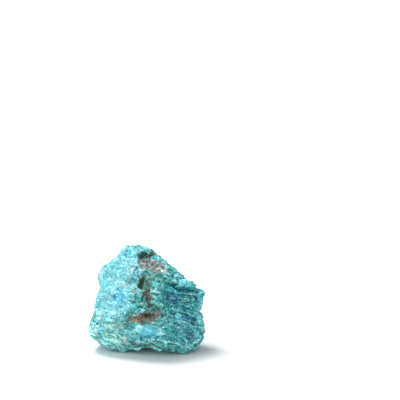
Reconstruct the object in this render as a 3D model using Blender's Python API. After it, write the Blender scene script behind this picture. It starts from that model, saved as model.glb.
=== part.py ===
"""A rough chunk of blue apatite, one broken solid that rests on its own flat feet.

Run it with: blender --background --python part.py
Metres, +Z up. The side seen in the picture faces -Y, and the ground is z = 0.

The form is worked out as a distance from the stone's centre in every direction: its
outline as seen from the front, trimmed by broken faces, then steps, swellings, hollows
and chips. Last, thin sheets slide in or out like the edges of a stack of cards.
"""

from collections import namedtuple
from itertools import product

import bmesh
import bpy
import numpy as np

# Driving dimensions
STONE_WIDTH = 0.0446
DRAWN_WIDTH_MM = 44.6
MM = STONE_WIDTH / DRAWN_WIDTH_MM  # one millimetre of the drawing, in metres
HALF_DEPTH_FRONT = 17.5 * MM
HALF_DEPTH_BACK = 18.0 * MM
CENTRE = np.array([0.0, 0.0, 18.8]) * MM
SIGHT_DROP = np.radians(14.0)  # the picture looks down on the stone by this angle

# Look of the solid
STONE_COLOUR = (0.139, 0.386, 0.402, 1.0)
STONE_ROUGHNESS = 0.55

# How finely the form is worked out, and how many faces the finished solid keeps
GRID_CELLS = 96
SOLID_FACES = 9000
MERGE_DISTANCE = 0.00005

# The outline seen from the front, clockwise from the peak: right of and above the centre
OUTLINE_MM = [
    (-5.9, 21.4), (0.0, 20.2), (2.3, 19.5), (4.1, 17.4), (8.8, 13.5), (12.4, 10.9), (15.3, 7.8),
    (17.6, 7.6), (19.5, 5.0), (21.5, 4.0), (22.3, 2.8), (21.0, -1.1), (20.5, -4.1), (22.0, -8.3),
    (21.8, -13.8), (19.5, -18.1), (16.3, -19.5), (7.1, -19.2), (0.6, -17.6), (-5.9, -18.6),
    (-8.1, -19.7), (-11.1, -19.4), (-17.9, -16.6), (-21.5, -13.5), (-22.3, -11.6), (-21.8, -7.3),
    (-20.0, -4.1), (-19.2, 1.8), (-17.8, 4.7), (-18.7, 7.3), (-18.7, 9.9), (-17.6, 12.5),
    (-14.0, 14.8), (-11.1, 17.4), (-8.1, 20.7),
]
OUTLINE_SECTORS = 120
CORNER = 2.7  # 2 would make the body round like an egg, and more makes it blockier

# Broken faces: azimuth (0 faces the viewer, 90 the right), elevation, distance from the centre
Face = namedtuple("Face", "azimuth elevation distance_mm")
BROKEN_FACES = {
    "left_front": Face(-34, 22, 14.6),
    "left_shoulder": Face(-60, 30, 18.4),
    "right_front": Face(38, 8, 15.8),
    "roof_front": Face(16, 50, 15.4),
    "foot_left": Face(-22, -24, 16.6),
    "lip_right": Face(20, -20, 17.2),
    "top": Face(30, 84, 20.2),
    "back_high": Face(168, 44, 15.4),
    "back_left": Face(-134, 12, 16.6),
    "back_right": Face(140, 2, 16.0),
    "back_low": Face(-172, -34, 20.6),
    "back_end": Face(106, 14, 21.0),
}
FACE_EDGE_ROUNDING = 0.35 * MM

# Small breaks that knock the corners off, spread evenly over the stone and turned by a seeded draw
SMALL_BREAKS = 46
SMALL_BREAK_DEPTH = 1.3 * MM
SMALL_BREAK_LEAST = 0.4  # the shallowest, as a share of the deepest
SMALL_BREAK_SCATTER = 0.12
SMALL_BREAK_SEED = 11
SMALL_BREAK_FACING = (0.15, 0.6)  # none on the rim of the front view, all on faces turned this far

# Steps on the front, each along a line from one end to the other. Walking that way, the stone
# drops on the right-hand side (rises if less than 0) and is back at its old height at the fade
Step = namedtuple("Step", "x0 v0 x1 v1 drop fade")
STEPS_MM = {
    "left_face_edge": Step(-2.6, 3.0, -3.4, 19.8, 1.7, 14.0),
    "left_face_heel": Step(-6.4, -4.6, -2.4, 4.4, 0.7, 7.0),
    "left_face_foot": Step(-24.0, -5.4, -6.5, -6.6, 0.8, 3.0),
    "patch_lower_edge": Step(-3.0, 9.2, 7.5, 9.8, 0.8, 5.0),
    "rim": Step(1.2, 17.4, 11.8, 9.0, 0.9, 4.0),
    "slab_lower_edge": Step(8.0, 7.8, 19.5, 4.4, 1.9, 3.2),
    "second_ledge": Step(6.0, 4.2, 23.5, 1.0, 1.3, 2.4),
    "third_ledge": Step(7.0, 1.2, 22.0, -0.8, 0.9, 2.2),
    "olive_ledge": Step(9.5, -1.8, 21.5, -3.4, 1.2, 2.2),
    "low_ledge": Step(5.5, -3.6, 22.0, -5.4, 0.8, 2.6),
    "gully_roof": Step(-9.0, -5.4, 5.5, -2.6, 1.2, 4.2),
    "foot_edge": Step(-23.0, -8.2, -8.0, -9.4, -1.0, 4.0),
    "facet_lower_edge": Step(-6.0, -13.2, 6.5, -13.4, 1.0, 2.6),
    "lip_edge": Step(3.0, -13.8, 20.0, -16.6, -0.9, 3.4),
    "dark_facet_rim": Step(18.2, -9.6, 18.4, -15.0, 1.1, 5.0),
    "rib_one": Step(9.0, -12.4, 13.4, -17.0, -0.7, 2.0),
    "rib_two": Step(6.4, -11.6, 11.6, -16.4, -0.7, 2.4),
}
STEP_BORDER = 0.4 * MM
STEP_ENDS = 2.5 * MM

# Swellings and hollows of the front: place of the middle right of and above the centre, half
# width, half height, turn anticlockwise in degrees, height (less than 0 for a hollow) and how
# soft the border is, from 0 for a cliff to 1 for a gentle mound
Spot = namedtuple("Spot", "x v half_width half_height turn height softness")
SPOTS_MM = {
    "teal_pit": Spot(-0.8, 16.8, 2.4, 1.4, 18, -1.0, 0.7),
    "brown_pit": Spot(1.2, 17.4, 1.4, 0.9, 20, -0.9, 0.7),
    "cavity": Spot(-1.3, 6.8, 1.4, 3.4, 6, -2.2, 0.6),
    "crevice": Spot(1.1, 1.4, 1.5, 5.6, 16, -1.3, 0.9),
    "gully": Spot(-0.6, -5.7, 6.2, 1.5, 9, -1.2, 0.8),
    "left_cheek": Spot(-11.5, 3.0, 6.5, 7.0, 20, 0.9, 1.0),
    "left_lobe": Spot(-17.4, 9.4, 2.6, 4.0, 0, 0.9, 0.7),
    "foot": Spot(-13.0, -12.8, 9.0, 4.0, -14, 1.2, 0.9),
    "smooth_patch": Spot(0.3, -10.9, 5.4, 2.6, -4, 1.0, 0.9),
    "bottom_lip": Spot(9.5, -16.8, 13.0, 1.4, -9, 0.8, 0.7),
    "slab": Spot(13.6, 7.6, 4.4, 1.3, -20, 0.8, 0.5),
    "nose": Spot(20.6, 3.0, 2.2, 2.6, 0, 0.8, 0.7),
    "blue_hollow": Spot(9.0, 2.0, 2.4, 3.0, 0, -0.7, 0.9),
    "dome": Spot(13.4, -6.8, 3.0, 2.8, 0, 1.0, 0.8),
    "dark_hollow": Spot(18.0, -8.0, 2.0, 1.8, 0, -1.3, 0.7),
    "white_rib": Spot(4.4, -0.6, 1.3, 4.6, 24, 0.9, 0.8),
}
SPOT_RIM = 1.05

# Places with fewer chips: the height is the share of the chips that is gone
QUIET_MM = {
    "left_face": Spot(-13.0, 5.0, 11.0, 19.0, 14, 0.5, 0.4),
    "smooth_patch": Spot(0.3, -10.9, 5.6, 2.8, -4, 0.95, 0.5),
    "dark_facet": Spot(15.6, -12.6, 2.8, 3.2, 0, 0.85, 0.4),
}

# How far borders stray from their drawn lines, and where the front's own forms fade out
WANDER = 0.7 * MM
WANDER_SIZE = 3.0 * MM
WANDER_CHIP_SIZE = 2.2 * MM
WANDER_SEEDS = (21, 23)
FRONT_FADE = (1.0 * MM, -4.0 * MM)

# Chips: size, height and seed of the coarse and the middle ones
Chip = namedtuple("Chip", "size height seed")
CHIPS_MM = [Chip(6.5, 1.0, 61), Chip(2.8, 0.6, 71)]
CHIP_BORDER = 0.12
CHIP_LIFT = 0.35

# Sheets: the right of the stone is a stack of thin sheets that dip to the right. The reach is
# how far they slide, and the border is how much of their thickness joins one to the next
SHEET_NORMAL = np.array([0.290, 0.190, 0.938])
Sheet = namedtuple("Sheet", "thickness reach border seed")
SHEETS_MM = [Sheet(2.5, 1.0, 0.45, 41)]
SHEET_BENDS_MM = [(12.0, 0.6), (3.0, 0.2)]
SHEET_WAVE = (6.0 * MM, 0.7)
SHEET_BREAK = (3.5 * MM, 0.7)
LAYER_OFFSET = np.array([17.3, 5.1, 9.7]) * MM
GROOVE_SIZE = 5.0 * MM
GROOVE_SHARE = 0.6

# The sheeted part begins right of the middle and is weaker low down
SHEETED_FROM = 5.0 * MM
SHEETED_STRAY = (9.0 * MM, 3.0 * MM, 31)
SHEETED_FADE = 5.0 * MM
SHEETED_LOW = (12.0 * MM, 18.0 * MM, 0.15)
SHEETED_SLOPE = 0.3

# Odd numbers that mix the bits of a lattice cell's indices
MIX = [np.uint32(number) for number in (374761393, 668265263, 2246822519, 3266489917)]


def hashed(cells, seed):
    """A repeatable number from 0 to 1 for each whole-number cell, from mixing the bits of its indices."""
    index = cells.astype(np.int64).astype(np.uint32)
    mixed = index[..., 0] * MIX[0] + index[..., 1] * MIX[1] + index[..., 2] * MIX[2]
    mixed = mixed + np.uint32(seed * int(MIX[3]) % 2**32)
    for shift, factor in ((15, MIX[2]), (13, MIX[3])):
        mixed = (mixed ^ (mixed >> np.uint32(shift))) * factor
    mixed = mixed ^ (mixed >> np.uint32(16))
    return mixed / 2.0**32


def smooth_noise(points, size, seed):
    """Random heights from -1 to 1 on a cubic lattice of that size, joined by smooth curves."""
    scaled = points / size
    base = np.floor(scaled)
    part = scaled - base
    ease = part * part * (3 - 2 * part)
    total = np.zeros(len(points))
    for corner in product((0, 1), repeat=3):
        weight = np.prod(np.where(corner, ease, 1 - ease), axis=1)
        total += weight * hashed(base + corner, seed)
    return 2 * total - 1


def chips(points, size, seed):
    """Flat chips: each lattice cell holds a random centre, and a point takes the tilted plane of
    its nearest centre, eased into the next one's near their border. Heights are about -1 to 1."""
    scaled = points / size
    base = np.floor(scaled)
    near = np.full(len(points), np.inf)
    far = np.full(len(points), np.inf)
    near_height = np.zeros(len(points))
    far_height = np.zeros(len(points))
    for offset in product((-1, 0, 1), repeat=3):
        cell = base + offset
        draws = [hashed(cell, seed + number) for number in range(7)]
        away = scaled - cell - np.stack(draws[0:3], axis=1)
        tilt = 2 * np.stack(draws[3:6], axis=1) - 1
        height = (away * tilt).sum(axis=1) + CHIP_LIFT * (2 * draws[6] - 1)
        distance = np.sqrt((away**2).sum(axis=1))
        nearest = distance < near
        second = ~nearest & (distance < far)
        far_height = np.where(nearest, near_height, np.where(second, height, far_height))
        far = np.where(nearest, near, np.where(second, distance, far))
        near_height = np.where(nearest, height, near_height)
        near = np.where(nearest, distance, near)
    own = (1 + np.clip((far - near) / CHIP_BORDER, 0, 1)) / 2
    return own * near_height + (1 - own) * far_height


def smooth_step(low, high, value):
    """0 below the low value, 1 above the high one, and a smooth curve between."""
    part = np.clip((value - low) / (high - low), 0, 1)
    return part * part * (3 - 2 * part)


def sphere_grid(cells):
    """A cube's faces, each cut into cells x cells squares, as mesh data, and the directions from
    the middle to its points, spread so that the squares come out even on a sphere."""
    mesh = bmesh.new()
    bmesh.ops.create_cube(mesh, size=2.0)
    bmesh.ops.subdivide_edges(mesh, edges=mesh.edges[:], cuts=cells - 1, use_grid_fill=True)
    data = bpy.data.meshes.new("apatite_stone")
    mesh.to_mesh(data)
    mesh.free()
    points = np.empty(len(data.vertices) * 3)
    data.vertices.foreach_get("co", points)
    spread = np.tan(points.reshape(-1, 3) * np.pi / 4)
    return data, spread / np.linalg.norm(spread, axis=1, keepdims=True)


def sight_frame():
    """Unit vectors to the right of the picture, away from the viewer and up the picture, as rows."""
    sine, cosine = np.sin(SIGHT_DROP), np.cos(SIGHT_DROP)
    return np.array([[1.0, 0.0, 0.0], [0.0, cosine, -sine], [0.0, sine, cosine]])


def in_picture(points):
    """How far each point lies right of the centre, behind it and above it, as the picture sees it."""
    return ((points - CENTRE) @ sight_frame().T).T


def outline_reach(angle):
    """The outline's distance from the centre at that angle, anticlockwise from the right."""
    corners = np.array(OUTLINE_MM) * MM
    angles = np.arctan2(corners[:, 1], corners[:, 0])
    order = np.argsort(angles)
    lengths = np.hypot(corners[:, 0], corners[:, 1])
    return np.interp(angle, angles[order], lengths[order], period=2 * np.pi)


def body_reach(directions):
    """Distance from the centre to the untrimmed body: a block with rounded corners whose
    cross-section to the line of sight is the outline."""
    across, depth, rise = (directions @ sight_frame().T).T
    outline = outline_reach(np.arctan2(rise, across))
    half_depth = np.where(depth < 0, HALF_DEPTH_FRONT, HALF_DEPTH_BACK)
    flat = (np.hypot(across, rise) / outline) ** CORNER
    deep = (np.abs(depth) / half_depth) ** CORNER
    return (flat + deep) ** (-1 / CORNER)


def face_normal(face):
    azimuth, elevation = np.radians(face.azimuth), np.radians(face.elevation)
    level = np.array([np.sin(azimuth), -np.cos(azimuth)]) * np.cos(elevation)
    return np.array([*level, np.sin(elevation)])


def reach_to_plane(directions, normal, distance):
    """How far each direction runs before it meets a plane, and very far if it never does."""
    towards = directions @ normal
    return np.where(towards > 0, distance / np.maximum(towards, MM), 1.0)


def trimmed_reach(directions):
    """The body's reach, cut short by each broken face, with slightly rounded edges between them."""
    reaches = [body_reach(directions)]
    for face in BROKEN_FACES.values():
        reaches.append(reach_to_plane(directions, face_normal(face), face.distance_mm * MM))
    return -FACE_EDGE_ROUNDING * np.logaddexp.reduce(-np.array(reaches) / FACE_EDGE_ROUNDING, axis=0)


def small_breaks():
    """Directions in a spiral that covers the sphere evenly, each moved a little, and how deep each
    break is."""
    draw = np.random.default_rng(SMALL_BREAK_SEED)
    step = np.arange(SMALL_BREAKS) + 0.5
    height = 1 - 2 * step / SMALL_BREAKS
    turn = step * np.pi * (3 - np.sqrt(5))
    ring = np.sqrt(1 - height**2)
    spiral = np.stack([ring * np.cos(turn), ring * np.sin(turn), height], axis=1)
    spiral += draw.normal(0, SMALL_BREAK_SCATTER, spiral.shape)
    normals = spiral / np.linalg.norm(spiral, axis=1, keepdims=True)
    facing = smooth_step(*SMALL_BREAK_FACING, np.abs(normals @ sight_frame()[1]))
    share = SMALL_BREAK_LEAST + (1 - SMALL_BREAK_LEAST) * draw.random(SMALL_BREAKS)
    return normals, SMALL_BREAK_DEPTH * share * facing


def broken_reach(directions):
    """The trimmed body's reach, with each small break taken off where the body stands out furthest."""
    reach = trimmed_reach(directions)
    points = directions * reach[:, None]
    for normal, depth in zip(*small_breaks()):
        reach = np.minimum(reach, reach_to_plane(directions, normal, (points @ normal).max() - depth))
    return reach


def step_drop(step, x, v):
    """How far a place lies below its old height because of a step."""
    start = np.array([step.x0, step.v0]) * MM
    end = np.array([step.x1, step.v1]) * MM
    length = np.linalg.norm(end - start)
    along_x, along_v = (end - start) / length
    along = (x - start[0]) * along_x + (v - start[1]) * along_v
    aside = (x - start[0]) * along_v - (v - start[1]) * along_x
    ends = smooth_step(0, STEP_ENDS, along) * smooth_step(0, STEP_ENDS, length - along)
    edge = smooth_step(-STEP_BORDER, STEP_BORDER, aside)
    return step.drop * MM * ends * edge * (1 - np.clip(aside / (step.fade * MM), 0, 1))


def spot_share(spot, x, v):
    """How much of a spot a place has: 1 in its middle, 0 outside its oval."""
    turn = np.radians(spot.turn)
    dx, dv = x - spot.x * MM, v - spot.v * MM
    along = (dx * np.cos(turn) + dv * np.sin(turn)) / (spot.half_width * MM)
    across = (dv * np.cos(turn) - dx * np.sin(turn)) / (spot.half_height * MM)
    return 1 - smooth_step(1 - spot.softness, SPOT_RIM, np.hypot(along, across))


def wandered(points):
    """Places in the picture, disturbed so that no border is a clean line or oval."""
    x, depth, v = in_picture(points)
    strays = []
    for seed in WANDER_SEEDS:
        stray = smooth_noise(points, WANDER_SIZE, seed) + chips(points, WANDER_CHIP_SIZE, seed + 1)
        strays.append(WANDER * stray)
    return x + strays[0], depth, v + strays[1]


def front_height(points):
    """The steps, swellings and hollows of the front."""
    x, depth, v = wandered(points)
    height = np.zeros(len(points))
    for spot in SPOTS_MM.values():
        height += spot.height * MM * spot_share(spot, x, v)
    for step in STEPS_MM.values():
        height -= step_drop(step, x, v)
    return height * smooth_step(*FRONT_FADE, depth)


def chip_height(points):
    """Chips all over, fewer in the quiet places."""
    x, _, v = wandered(points)
    height = sum(chip.height * MM * chips(points, chip.size * MM, chip.seed) for chip in CHIPS_MM)
    for spot in QUIET_MM.values():
        height = height * (1 - spot.height * spot_share(spot, x, v))
    return height


def sheeted_share(points):
    """How strongly each place of the stone is sheeted."""
    size, stray, seed = SHEETED_STRAY
    start = SHEETED_FROM + stray * smooth_noise(points, size, seed)
    bottom, top, least = SHEETED_LOW
    low = least + (1 - least) * smooth_step(bottom, top, points[:, 2] + SHEETED_SLOPE * points[:, 0])
    return low * smooth_step(0, SHEETED_FADE, points[:, 0] - start)


def layer_reach(points, layer, seed):
    """How far one layer of a stack sticks out at each point, in waves and straight breaks of its own."""
    own = points + layer[:, None] * LAYER_OFFSET
    wave_size, wave = SHEET_WAVE
    break_size, straight = SHEET_BREAK
    return wave * smooth_noise(own, wave_size, seed) + straight * chips(own, break_size, seed + 1)


def stack_reach(points, sheet):
    """How far a stack of layers of uneven thickness sticks out. A border of its own width joins each
    layer to the one above, with a groove along it that is deep in some places."""
    level = points @ SHEET_NORMAL / (sheet.thickness * MM)
    for number, (size, bend) in enumerate(SHEET_BENDS_MM):
        level = level + bend * smooth_noise(points, size * MM, sheet.seed + number)
    layer = np.floor(level)
    inside = level - layer
    border = sheet.border / sheet.thickness
    lower = layer_reach(points, layer, sheet.seed + 2)
    upper = layer_reach(points, layer + 1, sheet.seed + 2)
    reach = lower + (upper - lower) * smooth_step(1 - border, 1, inside)
    depth = (1 + smooth_noise(points, GROOVE_SIZE, sheet.seed + 4)) / 2
    groove = np.exp(-(((inside - 1) / (GROOVE_SHARE * border) + 1) ** 2))
    return sheet.reach * MM * (reach - depth * groove)


def sheet_shift(points, directions):
    """Every sheet slides out or in along its own plane, so that it can overhang the one below."""
    slide = directions - np.outer(directions @ SHEET_NORMAL, SHEET_NORMAL)
    reach = sheeted_share(points) * sum(stack_reach(points, sheet) for sheet in SHEETS_MM)
    return slide * reach[:, None]


def fitted_to_outline(points):
    """The points moved in or out across the line of sight, so that the furthest in each narrow
    sector of the view comes to lie on the outline, give or take the small chips."""
    x, depth, v = in_picture(points)
    angle = np.arctan2(v, x)
    sector = ((angle / (2 * np.pi) + 0.5) * OUTLINE_SECTORS).astype(int) % OUTLINE_SECTORS
    furthest = np.zeros(OUTLINE_SECTORS)
    np.maximum.at(furthest, sector, np.hypot(x, v))
    middle = ((np.arange(OUTLINE_SECTORS) + 0.5) / OUTLINE_SECTORS - 0.5) * 2 * np.pi
    ratio = outline_reach(middle) / furthest
    smooth = (np.roll(ratio, -1) + ratio + np.roll(ratio, 1)) / 3
    scale = np.interp(angle, middle, smooth, period=2 * np.pi)
    return CENTRE + np.stack([x * scale, depth, v * scale], axis=1) @ sight_frame()


def stone_points(directions):
    """The stone's surface in each direction."""
    reach = broken_reach(directions)
    points = CENTRE + directions * reach[:, None]
    reach = reach + front_height(points) + chip_height(points)
    points = CENTRE + directions * reach[:, None]
    return fitted_to_outline(points + sheet_shift(points, directions))


def thinned(data):
    """The mesh with fewer, larger faces where the form is flat, as new mesh data."""
    fine = bpy.data.objects.new("fine_form", data)
    bpy.context.scene.collection.objects.link(fine)
    fewer = fine.modifiers.new("fewer_faces", "DECIMATE")
    fewer.ratio = SOLID_FACES / (2 * len(data.polygons))
    coarse = bpy.data.meshes.new_from_object(fine.evaluated_get(bpy.context.evaluated_depsgraph_get()))
    bpy.data.objects.remove(fine)
    return coarse


def cut_flat_feet(mesh):
    """Takes off all that lies below the ground and closes the cuts, so that the stone stands on flats."""
    everything = mesh.verts[:] + mesh.edges[:] + mesh.faces[:]
    level = {"plane_co": (0, 0, 0), "plane_no": (0, 0, 1)}
    cut = bmesh.ops.bisect_plane(mesh, geom=everything, clear_inner=True, **level)
    rims = [item for item in cut["geom_cut"] if isinstance(item, bmesh.types.BMEdge)]
    bmesh.ops.triangle_fill(mesh, edges=rims, use_beauty=True, normal=(0, 0, -1))
    bmesh.ops.remove_doubles(mesh, verts=mesh.verts[:], dist=MERGE_DISTANCE)
    bmesh.ops.recalc_face_normals(mesh, faces=mesh.faces[:])


def centre_over_ground(mesh):
    """Moves the stone level so that its box is centred on the origin."""
    places = np.array([vert.co for vert in mesh.verts])
    middle = (places.min(axis=0) + places.max(axis=0)) / 2
    bmesh.ops.translate(mesh, verts=mesh.verts[:], vec=(-middle[0], -middle[1], 0))


def stone_material():
    material = bpy.data.materials.new("blue_apatite")
    material.use_nodes = True
    shader = material.node_tree.nodes["Principled BSDF"]
    shader.inputs["Base Color"].default_value = STONE_COLOUR
    shader.inputs["Roughness"].default_value = STONE_ROUGHNESS
    shader.inputs["Metallic"].default_value = 0.0
    return material


def build_stone(collection):
    """The solid: the fine form with fewer faces, its feet cut flat, centred over the origin."""
    fine, directions = sphere_grid(GRID_CELLS)
    fine.vertices.foreach_set("co", stone_points(directions).ravel())
    data = thinned(fine)
    mesh = bmesh.new()
    mesh.from_mesh(data)
    cut_flat_feet(mesh)
    centre_over_ground(mesh)
    mesh.to_mesh(data)
    mesh.free()
    data.materials.append(stone_material())
    collection.objects.link(bpy.data.objects.new("apatite_stone", data))


def main():
    for obj in list(bpy.data.objects):
        bpy.data.objects.remove(obj)
    collection = bpy.data.collections.new("rough_blue_apatite")
    bpy.context.scene.collection.children.link(collection)
    build_stone(collection)


main()
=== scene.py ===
"""A rough chunk of blue apatite on a white studio floor.

The stone's surface is worked out as a distance from its centre in every direction, on a
grid fine enough for its chips and thin leaves. Its colours are laid on in soft patches,
each with a place on the side in the picture, some of them painted shade and highlights.
Its grain, stains and gloss are nodes, and so are painted shade in hollows, painted
highlights on edges and painted glints.
"""

from collections import namedtuple
from itertools import product

import bpy
import numpy as np
from mathutils import Euler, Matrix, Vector


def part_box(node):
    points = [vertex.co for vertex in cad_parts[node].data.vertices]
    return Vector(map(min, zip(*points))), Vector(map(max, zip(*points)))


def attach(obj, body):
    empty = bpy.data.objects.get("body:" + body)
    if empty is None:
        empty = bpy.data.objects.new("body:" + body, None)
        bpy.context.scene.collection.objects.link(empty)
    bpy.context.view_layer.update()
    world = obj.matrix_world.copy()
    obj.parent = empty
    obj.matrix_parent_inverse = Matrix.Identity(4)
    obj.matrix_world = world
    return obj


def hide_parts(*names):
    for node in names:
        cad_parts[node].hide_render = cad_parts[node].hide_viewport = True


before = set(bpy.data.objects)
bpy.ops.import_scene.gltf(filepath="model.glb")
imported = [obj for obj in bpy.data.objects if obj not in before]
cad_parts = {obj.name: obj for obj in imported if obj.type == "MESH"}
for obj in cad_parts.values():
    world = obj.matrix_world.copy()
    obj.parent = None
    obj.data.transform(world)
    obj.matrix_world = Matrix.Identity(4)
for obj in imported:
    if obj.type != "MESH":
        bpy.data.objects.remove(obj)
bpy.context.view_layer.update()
MM = 0.001

# The stone's measures, as in the solid
HALF_DEPTH_FRONT = 17.5 * MM
HALF_DEPTH_BACK = 18.0 * MM
CENTRE = np.array([0.0, 0.0, 18.8]) * MM
SIGHT_DROP = np.radians(14.0)  # the picture looks down on the stone by this angle
GRID_CELLS = 127

# The outline seen from the front, clockwise from the peak: right of and above the centre
OUTLINE_MM = [
    (-5.9, 21.4), (0.0, 20.2), (2.3, 19.5), (4.1, 17.4), (8.8, 13.5), (12.4, 10.9), (15.3, 7.8),
    (17.6, 7.6), (19.5, 5.0), (21.5, 4.0), (22.3, 2.8), (21.0, -1.1), (20.5, -4.1), (22.0, -8.3),
    (21.8, -13.8), (19.5, -18.1), (16.3, -19.5), (7.1, -19.2), (0.6, -17.6), (-5.9, -18.6),
    (-8.1, -19.7), (-11.1, -19.4), (-17.9, -16.6), (-21.5, -13.5), (-22.3, -11.6), (-21.8, -7.3),
    (-20.0, -4.1), (-19.2, 1.8), (-17.8, 4.7), (-18.7, 7.3), (-18.7, 9.9), (-17.6, 12.5),
    (-14.0, 14.8), (-11.1, 17.4), (-8.1, 20.7),
]
OUTLINE_SECTORS = 120
CORNER = 2.7  # 2 would make the body round like an egg, and more makes it blockier

# Broken faces: azimuth (0 faces the viewer, 90 the right), elevation, distance from the centre
Face = namedtuple("Face", "azimuth elevation distance_mm")
BROKEN_FACES = {
    "left_front": Face(-34, 22, 14.6),
    "left_shoulder": Face(-60, 30, 18.4),
    "right_front": Face(38, 8, 15.8),
    "roof_front": Face(16, 50, 15.4),
    "foot_left": Face(-22, -24, 16.6),
    "lip_right": Face(20, -20, 17.2),
    "top": Face(30, 84, 20.2),
    "back_high": Face(168, 44, 15.4),
    "back_left": Face(-134, 12, 16.6),
    "back_right": Face(140, 2, 16.0),
    "back_low": Face(-172, -34, 20.6),
    "back_end": Face(106, 14, 21.0),
}
FACE_EDGE_ROUNDING = 0.35 * MM

# Small breaks that knock the corners off, spread evenly over the stone and turned by a seeded draw
SMALL_BREAKS = 46
SMALL_BREAK_DEPTH = 1.3 * MM
SMALL_BREAK_LEAST = 0.4  # the shallowest, as a share of the deepest
SMALL_BREAK_SCATTER = 0.12
SMALL_BREAK_SEED = 11
SMALL_BREAK_FACING = (0.15, 0.6)  # none on the rim of the front view, all on faces turned this far

# Steps on the front, each along a line from one end to the other. Walking that way, the stone
# drops on the right-hand side (rises if less than 0) and is back at its old height at the fade
Step = namedtuple("Step", "x0 v0 x1 v1 drop fade")
STEPS_MM = {
    "left_face_edge": Step(-2.6, 3.0, -3.4, 19.8, 1.0, 14.0),
    "left_face_heel": Step(-6.4, -4.6, -2.4, 4.4, 0.7, 7.0),
    "left_face_foot": Step(-24.0, -5.4, -6.5, -6.6, 0.8, 3.0),
    "patch_lower_edge": Step(-3.0, 9.2, 7.5, 9.8, 0.8, 5.0),
    "rim": Step(1.2, 17.4, 11.8, 9.0, 0.9, 4.0),
    "slab_lower_edge": Step(8.0, 7.8, 19.5, 4.4, 1.9, 3.2),
    "second_ledge": Step(6.0, 4.2, 23.5, 1.0, 1.3, 2.4),
    "third_ledge": Step(7.0, 1.2, 22.0, -0.8, 0.9, 2.2),
    "olive_ledge": Step(9.5, -1.8, 21.5, -3.4, 1.2, 2.2),
    "low_ledge": Step(5.5, -3.6, 22.0, -5.4, 0.8, 2.6),
    "gully_roof": Step(-9.0, -5.4, 5.5, -2.6, 0.5, 4.2),
    "foot_edge": Step(-23.0, -8.2, -8.0, -9.4, -1.0, 4.0),
    "facet_lower_edge": Step(-6.0, -13.2, 6.5, -13.4, 1.0, 2.6),
    "lip_edge": Step(3.0, -13.8, 20.0, -16.6, -0.9, 3.4),
    "dark_facet_rim": Step(18.2, -9.6, 18.4, -15.0, 1.1, 5.0),
    "rib_one": Step(9.0, -12.4, 13.4, -17.0, -0.7, 2.0),
    "rib_two": Step(6.4, -11.6, 11.6, -16.4, -0.7, 2.4),
}
STEP_BORDER = 0.4 * MM
STEP_ENDS = 2.5 * MM

# Swellings and hollows of the front: place of the middle right of and above the centre, half
# width, half height, turn anticlockwise in degrees, height (less than 0 for a hollow) and how
# soft the border is, from 0 for a cliff to 1 for a gentle mound
Spot = namedtuple("Spot", "x v half_width half_height turn height softness")
SPOTS_MM = {
    "teal_pit": Spot(-0.8, 16.8, 2.4, 1.4, 18, -1.0, 0.7),
    "brown_pit": Spot(1.2, 17.4, 1.4, 0.9, 20, -0.9, 0.7),
    "cavity": Spot(-1.2, 6.7, 2.0, 3.5, 4, -1.5, 0.7),
    "crevice": Spot(1.1, 1.4, 1.7, 5.6, 16, -1.1, 1.0),
    "gully": Spot(-0.6, -5.8, 7.0, 2.0, 9, -0.7, 1.0),
    "left_cheek": Spot(-11.5, 3.0, 6.5, 7.0, 20, 0.9, 1.0),
    "left_lobe": Spot(-17.4, 9.4, 2.6, 4.0, 0, 0.9, 0.7),
    "foot": Spot(-13.0, -12.8, 9.0, 4.0, -14, 1.2, 0.9),
    "smooth_patch": Spot(0.3, -10.9, 5.4, 2.6, -4, 1.0, 0.9),
    "bottom_lip": Spot(9.5, -16.8, 13.0, 1.4, -9, 0.8, 0.7),
    "slab": Spot(15.2, 6.2, 4.0, 1.0, -14, 1.5, 0.35),
    "nose": Spot(21.0, 2.2, 2.0, 2.8, 0, 1.2, 0.6),
    "blue_hollow": Spot(9.0, 2.0, 2.4, 3.0, 0, -0.7, 0.9),
    "dome": Spot(13.4, -6.8, 3.0, 2.8, 0, 1.0, 0.8),
    "dark_hollow": Spot(18.0, -8.0, 2.0, 1.8, 0, -1.3, 0.7),
    "white_rib": Spot(4.4, -0.6, 1.3, 4.6, 24, 0.9, 0.8),
}
SPOT_RIM = 1.05

# Places with fewer chips: the height is the share of the chips that is gone
QUIET_MM = {
    "left_face": Spot(-13.0, 5.0, 11.0, 19.0, 14, 0.5, 0.4),
    "smooth_patch": Spot(0.3, -10.9, 5.6, 2.8, -4, 0.95, 0.5),
    "dark_facet": Spot(15.6, -12.6, 2.8, 3.2, 0, 0.85, 0.4),
    "slab": Spot(15.2, 6.2, 4.2, 1.4, -14, 0.8, 0.5),
    "nose": Spot(21.0, 2.2, 2.2, 3.0, 0, 0.8, 0.5),
}
LEFT_FACE_CALM = 0.45  # share of the fine chips that is gone on the left face
POLISHED = ("smooth_patch", "dark_facet", "slab", "nose")

# How far borders stray from their drawn lines, and where the front's own forms fade out
WANDER = 0.7 * MM
WANDER_SIZE = 3.0 * MM
WANDER_CHIP_SIZE = 2.2 * MM
WANDER_SEEDS = (21, 23)
COLOUR_WANDER = 0.75  # borders of colour stray by this share of that
FRONT_FADE = (1.0 * MM, -4.0 * MM)

# Chips: size, height and seed, from coarse to fine. The fine ones stay on most quiet places
Chip = namedtuple("Chip", "size height seed")
CHIPS_MM = [Chip(6.5, 1.0, 61), Chip(2.8, 0.6, 71)]
FINE_CHIPS_MM = [Chip(1.5, 0.34, 81), Chip(0.8, 0.15, 91)]
CHIP_BORDER = 0.12  # width of the bend between two chips, as a share of their size
CHIP_LIFT = 0.35  # how far chips stand above or below each other, as against their tilt

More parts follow.
